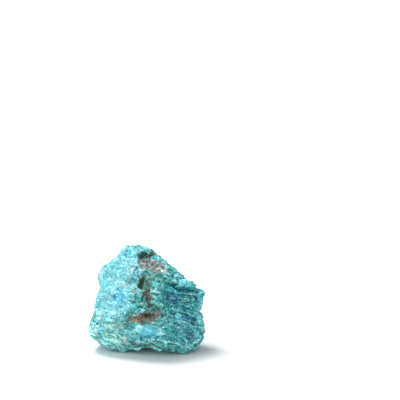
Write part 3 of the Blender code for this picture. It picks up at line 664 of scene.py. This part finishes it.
def chip_height(points):
    """Chips all over, with fewer coarse ones in the quiet places."""
    x, _, v = wandered(points)
    height = sum(chip.height * MM * chips(points, chip.size * MM, chip.seed) for chip in CHIPS_MM)
    for spot in QUIET_MM.values():
        height = height * (1 - spot.height * spot_share(spot, x, v))
    fine = sum(chip.height * MM * chips(points, chip.size * MM, chip.seed) for chip in FINE_CHIPS_MM)
    fine = fine * (1 - LEFT_FACE_CALM * spot_share(QUIET_MM["left_face"], x, v))
    for name in POLISHED:
        fine = fine * (1 - QUIET_MM[name].height * spot_share(QUIET_MM[name], x, v))
    return height + fine


def sheeted_share(points):
    """How strongly each place of the stone is sheeted."""
    size, stray, seed = SHEETED_STRAY
    start = SHEETED_FROM + stray * smooth_noise(points, size, seed)
    bottom, top, least = SHEETED_LOW
    low = least + (1 - least) * smooth_step(bottom, top, points[:, 2] + SHEETED_SLOPE * points[:, 0])
    return low * smooth_step(0, SHEETED_FADE, points[:, 0] - start)


def layer_reach(points, layer, seed):
    """How far one layer of a stack sticks out at each point: waves and straight breaks of its own."""
    own = points + layer[:, None] * LAYER_OFFSET
    wave_size, wave = SHEET_WAVE
    break_size, straight = SHEET_BREAK
    return wave * smooth_noise(own, wave_size, seed) + straight * chips(own, break_size, seed + 1)


def stack_reach(points, sheet):
    """How far a stack of layers of uneven thickness sticks out. A border of its own width joins each
    layer to the one above, with a groove along it that is deep in some places."""
    level = points @ SHEET_NORMAL / (sheet.thickness * MM)
    for number, (size, bend) in enumerate(SHEET_BENDS_MM):
        level = level + bend * smooth_noise(points, size * MM, sheet.seed + number)
    layer = np.floor(level)
    inside = level - layer
    border = sheet.border / sheet.thickness
    lower = layer_reach(points, layer, sheet.seed + 2)
    upper = layer_reach(points, layer + 1, sheet.seed + 2)
    reach = lower + (upper - lower) * smooth_step(1 - border, 1, inside)
    depth = (1 + smooth_noise(points, GROOVE_SIZE, sheet.seed + 4)) / 2
    groove = np.exp(-(((inside - 1) / (GROOVE_SHARE * border) + 1) ** 2))
    return sheet.reach * MM * (reach - depth * groove)


def sheet_shift(points, directions):
    """Every sheet slides out or in along its own plane, so that it can overhang the one below."""
    slide = directions - np.outer(directions @ SHEET_NORMAL, SHEET_NORMAL)
    reach = sheeted_share(points) * sum(stack_reach(points, sheet) for sheet in SHEETS_MM)
    return slide * reach[:, None]


def fitted_to_outline(points):
    """The points moved in or out across the line of sight, so that the furthest in each narrow
    sector of the view comes to lie on the outline, give or take the small chips."""
    x, depth, v = in_picture(points)
    angle = np.arctan2(v, x)
    sector = ((angle / (2 * np.pi) + 0.5) * OUTLINE_SECTORS).astype(int) % OUTLINE_SECTORS
    furthest = np.zeros(OUTLINE_SECTORS)
    np.maximum.at(furthest, sector, np.hypot(x, v))
    middle = ((np.arange(OUTLINE_SECTORS) + 0.5) / OUTLINE_SECTORS - 0.5) * 2 * np.pi
    ratio = outline_reach(middle) / furthest
    smooth = (np.roll(ratio, -1) + ratio + np.roll(ratio, 1)) / 3
    scale = np.interp(angle, middle, smooth, period=2 * np.pi)
    return CENTRE + np.stack([x * scale, depth, v * scale], axis=1) @ sight_frame()


def stone_points(directions):
    """The stone's surface in each direction."""
    reach = broken_reach(directions)
    points = CENTRE + directions * reach[:, None]
    reach = reach + front_height(points) + chip_height(points)
    points = CENTRE + directions * reach[:, None]
    return fitted_to_outline(points + sheet_shift(points, directions))


def stood_on_ground(points):
    """Points below the ground are drawn up to it, towards the centre, so that the feet are flat."""
    drop = np.maximum(CENTRE[2] - points[:, 2], CENTRE[2])
    return CENTRE + (points - CENTRE) * (CENTRE[2] / drop)[:, None]


def daylight(colour):
    """A colour written as six hexadecimal digits, as linear red, green and blue."""
    parts = np.array([int(colour[place : place + 2], 16) for place in (0, 2, 4)]) / 255
    return np.where(parts > 0.04045, ((parts + 0.055) / 1.055) ** 2.4, parts / 12.92)


def body_colour(points):
    """The colour away from the patches: five blues and greens, blended by broad noise of their own."""
    size, sharpness, seed = BODY_CLOUDS
    colour, total = 0, 0
    for number, name in enumerate(BODY_COLOURS):
        weight = np.exp(sharpness * smooth_noise(points, size, seed + number))[:, None]
        colour = colour + weight * daylight(name)
        total = total + weight
    return colour / total


def stone_colour(points):
    """The body's colour with the front's patches laid over it in turn, painted shade and highlights
    among them. Noise frays their borders.
    """
    x, depth, v = in_picture(points)
    stray_x, _, stray_v = wandered(points)
    x, v = x + COLOUR_WANDER * (stray_x - x), v + COLOUR_WANDER * (stray_v - v)
    front = smooth_step(*FRONT_FADE, depth)
    colour = body_colour(points)
    fray = sum(height * smooth_noise(points, size, seed) for size, height, seed in FRAY)
    for row in PATCHES_MM.values():
        patch = Patch(*row)
        share = spot_share(patch, x, v)
        cover = smooth_step(0, 1, share + fray * 4 * share * (1 - share)) * patch.strength * front
        colour = colour + (daylight(patch.colour) - colour) * cover[:, None]
    return colour


def neighbour_mean(values, quads):
    """Each point's mean over the squares round it, added up for all points at once."""
    total = np.zeros(len(values))
    count = np.zeros(len(values))
    mean = values[quads].mean(axis=1)
    for corner in range(4):
        total += np.bincount(quads[:, corner], mean, len(values))
        count += np.bincount(quads[:, corner], minlength=len(values))
    return total / count


def relief(points, quads, rounds, unit):
    """How far each point stands out from its smoothed surroundings, less than 0 in a hollow."""
    out = points - CENTRE
    reach = np.linalg.norm(out, axis=1)
    smooth = reach
    for _ in range(rounds):
        smooth = neighbour_mean(smooth, quads)
    return (reach - smooth) / unit


class Paint:
    """A number or colour on the surface. Plus, minus, times and the rest add the nodes for them."""

    def __init__(self, bench, socket):
        self.bench, self.socket = bench, socket

    def sum(self, operation, first, second):
        return self.bench.node("ShaderNodeMath", {"operation": operation}, {0: first, 1: second})

    def __add__(self, other):
        return self.sum("ADD", self, other)

    __radd__ = __add__

    def __sub__(self, other):
        return self.sum("SUBTRACT", self, other)

    def __rsub__(self, other):
        return self.sum("SUBTRACT", other, self)

    def __mul__(self, other):
        return self.sum("MULTIPLY", self, other)

    __rmul__ = __mul__

    def between(self, low, high):
        """0 below low, 1 above high, and a smooth curve between. It falls if low is the higher."""
        values = {"Value": self, "From Min": low, "From Max": high}
        return self.bench.node("ShaderNodeMapRange", {"interpolation_type": "SMOOTHSTEP"}, values)


class Bench:
    """Where one material's nodes are made."""

    def __init__(self, name):
        self.material = bpy.data.materials.new(name)
        self.material.use_nodes = True
        self.tree = self.material.node_tree
        self.shader = self.tree.nodes["Principled BSDF"]

    def fill(self, socket, value):
        if isinstance(value, Paint):
            self.tree.links.new(value.socket, socket)
        else:
            socket.default_value = value

    def node(self, kind, settings, values, output=0):
        made = self.tree.nodes.new(kind)
        for name, setting in settings.items():
            setattr(made, name, setting)
        for name, value in values.items():
            self.fill(made.inputs[name], value)
        return Paint(self, made.outputs[output])

    def mixed(self, share, first, second, blend="MIX"):
        """The first colour where the share is 0 and the second where it is 1."""
        settings = {"data_type": "RGBA", "blend_type": blend, "clamp_factor": True}
        return self.node("ShaderNodeMix", settings, {0: share, 6: first, 7: second}, 2)

    def vector(self, operation, first, second=None, output=0):
        values = {0: first} if second is None else {0: first, 1: second}
        return self.node("ShaderNodeVectorMath", {"operation": operation}, values, output)

    def noise(self, place, size, detail, roughness, output="Fac"):
        values = {"Vector": place, "Scale": 1 / size, "Detail": detail, "Roughness": roughness}
        return self.node("ShaderNodeTexNoise", {}, values, output)

    def grains(self, place, size, output="Color"):
        return self.node("ShaderNodeTexVoronoi", {}, {"Vector": place, "Scale": 1 / size}, output)

    def lift(self, place, amount):
        """How far a place moves across the sheets when the pattern is squeezed that way."""
        level = self.vector("DOT_PRODUCT", place, tuple(SHEET_NORMAL), "Value")
        values = {0: tuple(SHEET_NORMAL), "Scale": level * amount}
        return self.node("ShaderNodeVectorMath", {"operation": "SCALE"}, values)

    def parts(self, colour):
        """A colour's red, green and blue as three numbers."""
        first = self.node("ShaderNodeSeparateColor", {}, {"Color": colour})
        return [Paint(self, socket) for socket in first.socket.node.outputs]

    def attribute(self, name, output="Fac"):
        return self.node("ShaderNodeAttribute", {"attribute_name": name}, {}, output)


def apatite():
    """Grainy blue-green mineral. Over the laid-on patches come clouds of teal, blue and pale aqua,
    then streaks along the sheets, dark hollows as painted shade, pale edges as painted highlights,
    specks and painted glints, and last light and dark at every size down to the grains. Small flat
    crystal faces catch the light."""
    bench = Bench("apatite")
    place = bench.node("ShaderNodeTexCoord", {}, {}, "Object")
    tint = bench.attribute("tint", "Color")
    names = ("sheeted", "variety", "earthy", "polish", "edge", "brow")
    sheeted, variety, earthy, polish, edge, brow = (bench.attribute(name) for name in names)
    coarse = 1.0 - POLISH_SMOOTHS * polish

    # Places are bent a little, so that no grain has a straight side. Across the sheets the pattern
    # is squeezed a little everywhere, and far more for the streaks
    stray = bench.vector("SUBTRACT", bench.noise(place, BEND_SIZE, 3.0, 0.6, "Color"), MIDDLE_GREY)
    bent = bench.vector("ADD", place, bench.vector("MULTIPLY", stray, (BEND_REACH,) * 3))
    bent = bench.vector("ADD", bent, bench.lift(place, SQUEEZE))
    squeezed = bench.vector("ADD", place, bench.lift(place, STREAK_SQUEEZE))

    streaks = bench.noise(squeezed, STREAK_SIZE, 3.0, 0.6)
    teal_cloud, blue_cloud, pale_cloud = bench.parts(bench.noise(bent, CLOUD_SIZE, 2.0, 0.6, "Color"))
    light = bench.noise(bent, LIGHT_SIZE, 3.0, 0.85)
    pits, lumps, gathered = bench.parts(bench.noise(bent, SPECK_SIZE, 2.0, 0.6, "Color"))
    grain_tone, grain_kind, _ = bench.parts(bench.grains(bent, GRAIN_SIZE))
    shard_tone = bench.parts(bench.grains(bent, SHARD_SIZE))[0]

    # Each coat has its shade, how strongly it covers at most, and the stretch over which it comes in
    shade = {name: bench.mixed(1.0, tint, factor, "MULTIPLY") for name, factor in SHADES.items()}
    shade["pale"] = bench.mixed(FROST_SHARE, shade["pale"], FROST)
    depth = DEPTH_LEAST + (1 - DEPTH_LEAST) * variety
    coats = [
        ("teal", 0.9 * teal_cloud.between(0.54, 0.60) * variety),
        ("blue", 0.9 * blue_cloud.between(0.56, 0.62) * variety),
        ("pale", 0.8 * pale_cloud.between(0.54, 0.62)),
        ("deep", 0.9 * streaks.between(0.46, 0.38) * sheeted * depth),
        ("pale", 0.95 * streaks.between(0.54, 0.60) * sheeted),
        # Painted highlights on crests, and painted shade in small and broad hollows
        ("pale", 0.6 * edge.between(0.1, 0.8)),
        ("deep", 0.75 * edge.between(-0.1, -0.8) * depth),
        ("deep", 0.65 * brow.between(-0.05, -0.8) * depth),
        ("deep", 0.6 * pits.between(0.42, 0.30) * coarse * variety),
        ("pale", 0.5 * lumps.between(0.56, 0.70) * coarse),
        ("cream", 0.9 * gathered.between(0.45, 0.56) * earthy),
        ("rust", 0.6 * lumps.between(0.50, 0.62) * earthy),
        ("soil", 0.8 * pits.between(0.50, 0.36) * earthy),
    ]
    colour = tint
    for name, share in coats:
        colour = bench.mixed(share, colour, shade[name])
    # Painted glints: some grains turn pale, as small highlights
    glints = grain_kind.between(0.86, 0.90) * gathered.between(0.46, 0.56) * coarse * variety
    colour = bench.mixed(GLINT_SHARE * glints, colour, GLINT)

    # Light and dark, with less of it where the stone is even or polished
    swing = (EVEN_SWING + (1 - EVEN_SWING) * variety) * (POLISH_SWING + (1 - POLISH_SWING) * coarse)
    tone = BRIGHTNESS + LIGHT_SWING * (light.between(0.38, 0.62) - 0.5) * swing
    tone = tone + (GRAIN_SWING * (grain_tone - 0.5) + SHARD_SWING * (shard_tone - 0.5)) * coarse
    clear = bench.mixed(1.0, colour, CLEAR, "MULTIPLY")
    colour = bench.mixed(CLEAR_SHARE * tone.between(0.95, 0.6) * (1.0 - earthy), colour, clear)
    bench.fill(bench.shader.inputs["Base Color"], bench.mixed(1.0, colour, tone, "MULTIPLY"))

    rough = ROUGHNESS - GRAIN_GLOSS * grain_tone.between(0.6, 1.0) - POLISH_GLOSS * (1.0 - coarse)
    bench.fill(bench.shader.inputs["Roughness"], rough)
    bench.fill(bench.shader.inputs["Specular IOR Level"], SPECULAR)

    # Small flat crystal faces: each grain is a plane tilted its own way
    crystals = bench.grains(place, CRYSTAL_SIZE, "Position")
    tilt = bench.vector("SUBTRACT", bench.grains(place, CRYSTAL_SIZE), MIDDLE_GREY)
    off = bench.vector("SUBTRACT", bench.vector("MULTIPLY", place, (1 / CRYSTAL_SIZE,) * 3), crystals)
    flat = bench.vector("DOT_PRODUCT", off, tilt, "Value")
    height = (flat + lumps - 0.6 * pits.between(0.45, 0.3) + 1.5 * sheeted * streaks) * coarse
    values = {"Strength": BUMP_STRENGTH, "Distance": BUMP_DEPTH, "Height": height}
    bench.fill(bench.shader.inputs["Normal"], bench.node("ShaderNodeBump", {}, values, "Normal"))
    return bench.material


def placed_mesh(name, points, quads):
    """Mesh data from whole arrays of points and squares."""
    data = bpy.data.meshes.new(name)
    data.vertices.add(len(points))
    data.vertices.foreach_set("co", points.ravel())
    data.loops.add(quads.size)
    data.loops.foreach_set("vertex_index", quads.ravel())
    data.polygons.add(len(quads))
    data.polygons.foreach_set("loop_start", np.arange(0, quads.size, 4))
    data.update(calc_edges=True)
    data.validate()
    return data


def add_values(data, name, values):
    """A number for each point that materials can read."""
    made = data.attributes.new(name, "FLOAT", "POINT")
    made.data.foreach_set("value", np.ascontiguousarray(values, dtype=np.float32))


def apatite_stone():
    """The stone, fitted into the solid's box, and where its centre comes to lie."""
    directions, quads = sphere_grid(GRID_CELLS)
    drawn = stone_points(directions)
    points = stood_on_ground(drawn)
    low, high = (np.array(corner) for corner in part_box("apatite_stone"))
    own_low, own_high = points.min(axis=0), points.max(axis=0)
    scale = (high - low) / (own_high - own_low)
    data = placed_mesh("rough_stone", low + (points - own_low) * scale, quads)
    x, depth, v = wandered(drawn)
    front = smooth_step(*FRONT_FADE, depth)
    colour = np.c_[stone_colour(drawn), np.ones(len(points))]
    tint = data.attributes.new("tint", "FLOAT_COLOR", "POINT")
    tint.data.foreach_set("color", colour.astype(np.float32).ravel())
    add_values(data, "sheeted", sheeted_share(drawn))
    polish = front * sum(spot_share(QUIET_MM[name], x, v) for name in POLISHED)
    add_values(data, "polish", polish)
    blueness = smooth_step(*BLUE_ENOUGH, (colour[:, 2] - colour[:, 0]) / colour.max(axis=1))
    even = LEFT_FACE_EVEN * spot_share(QUIET_MM["left_face"], x, v) * front + POLISH_EVEN * polish
    add_values(data, "earthy", 1 - blueness)
    add_values(data, "variety", blueness * np.clip(1 - even, 0, 1))
    # How far each place stands out, for the painted highlights on crests and the painted shade in
    # hollows
    add_values(data, "edge", relief(drawn, quads, *EDGE_RELIEF))
    add_values(data, "brow", relief(drawn, quads, *BROW_RELIEF))
    stone = bpy.data.objects.new("rough_stone", data)
    bpy.context.scene.collection.objects.link(stone)
    data.materials.append(apatite())
    return stone, low + (CENTRE - own_low) * scale


def studio_floor():
    """A wide round floor whose rim curves up all round: a quarter circle turned about the middle."""
    turn = np.arange(FLOOR_SIDES) * 2 * np.pi / FLOOR_SIDES
    bend = np.arange(1, RIM_STEPS + 1) * np.pi / 2 / RIM_STEPS
    radius = np.concatenate([FLOOR_RINGS, FLOOR_RINGS[-1] + RIM_RADIUS * np.sin(bend)])
    height = np.concatenate([np.zeros(len(FLOOR_RINGS)), RIM_RADIUS * (1 - np.cos(bend))])
    ring = np.stack([np.cos(turn), np.sin(turn)], axis=1)
    rings = [np.c_[ring * reach, np.full(FLOOR_SIDES, rise)] for reach, rise in zip(radius, height)]
    points = np.concatenate([np.zeros((1, 3)), *rings])
    faces = []
    for side in range(FLOOR_SIDES):
        after = (side + 1) % FLOOR_SIDES
        faces.append((0, 1 + side, 1 + after))
        for row in range(len(radius) - 1):
            near, far = 1 + FLOOR_SIDES * row, 1 + FLOOR_SIDES * (row + 1)
            faces.append((near + side, far + side, far + after, near + after))
    data = bpy.data.meshes.new("studio_floor")
    data.from_pydata(points.tolist(), [], faces)
    floor = bpy.data.objects.new("studio_floor", data)
    bpy.context.scene.collection.objects.link(floor)
    bench = Bench("white_floor")
    bench.fill(bench.shader.inputs["Base Color"], (FLOOR_WHITE, FLOOR_WHITE, FLOOR_WHITE, 1))
    bench.fill(bench.shader.inputs["Roughness"], FLOOR_ROUGHNESS)
    bench.fill(bench.shader.inputs["Specular IOR Level"], 0.0)
    place = bench.node("ShaderNodeTexCoord", {}, {}, "Object")
    away = bench.vector("LENGTH", place, output="Value")
    glow = bench.mixed(away.between(*GLOW_FROM_TO), (0, 0, 0, 1), (GLOW, GLOW, GLOW, 1))
    bench.fill(bench.shader.inputs["Emission Color"], glow)
    bench.fill(bench.shader.inputs["Emission Strength"], 1.0)
    data.materials.append(bench.material)


def camera(centre):
    """Looks down by its pitch, from where the stone's centre falls on its place in the picture."""
    data = bpy.data.cameras.new("camera")
    data.lens, data.sensor_width = FOCAL_MM, SENSOR_MM
    made = bpy.data.objects.new("camera", data)
    bpy.context.scene.collection.objects.link(made)
    made.rotation_euler = Euler((np.pi / 2 - CAMERA_PITCH, 0, 0))
    half = PICTURE_SIZE / 2
    across = (STONE_PIXEL[0] - half) / PICTURE_SIZE * SENSOR_MM / FOCAL_MM
    rise = (half - STONE_PIXEL[1]) / PICTURE_SIZE * SENSOR_MM / FOCAL_MM
    ray = Vector((across, rise, -1)) * CAMERA_DISTANCE
    made.location = Vector(centre) - made.rotation_euler.to_matrix() @ ray
    bpy.context.scene.camera = made


def soft_light(name, place, size, watts):
    """A square light."""
    data = bpy.data.lights.new(name, "AREA")
    data.size, data.energy = size, watts
    made = bpy.data.objects.new(name, data)
    bpy.context.scene.collection.objects.link(made)
    made.location = place
    made.rotation_euler = (AIM - made.location).to_track_quat("-Z", "Y").to_euler()


def studio_light():
    world = bpy.data.worlds.new("studio")
    bpy.context.scene.world = world
    world.use_nodes = True
    world.node_tree.nodes["Background"].inputs["Color"].default_value = (1, 1, 1, 1)
    world.node_tree.nodes["Background"].inputs["Strength"].default_value = ROOM_LIGHT
    for name, light in LIGHTS.items():
        soft_light(name, *light)


stone, stone_centre = apatite_stone()
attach(stone, "root")
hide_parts("apatite_stone")
studio_floor()
studio_light()
camera(stone_centre)
bpy.context.scene.view_settings.view_transform = "Standard"
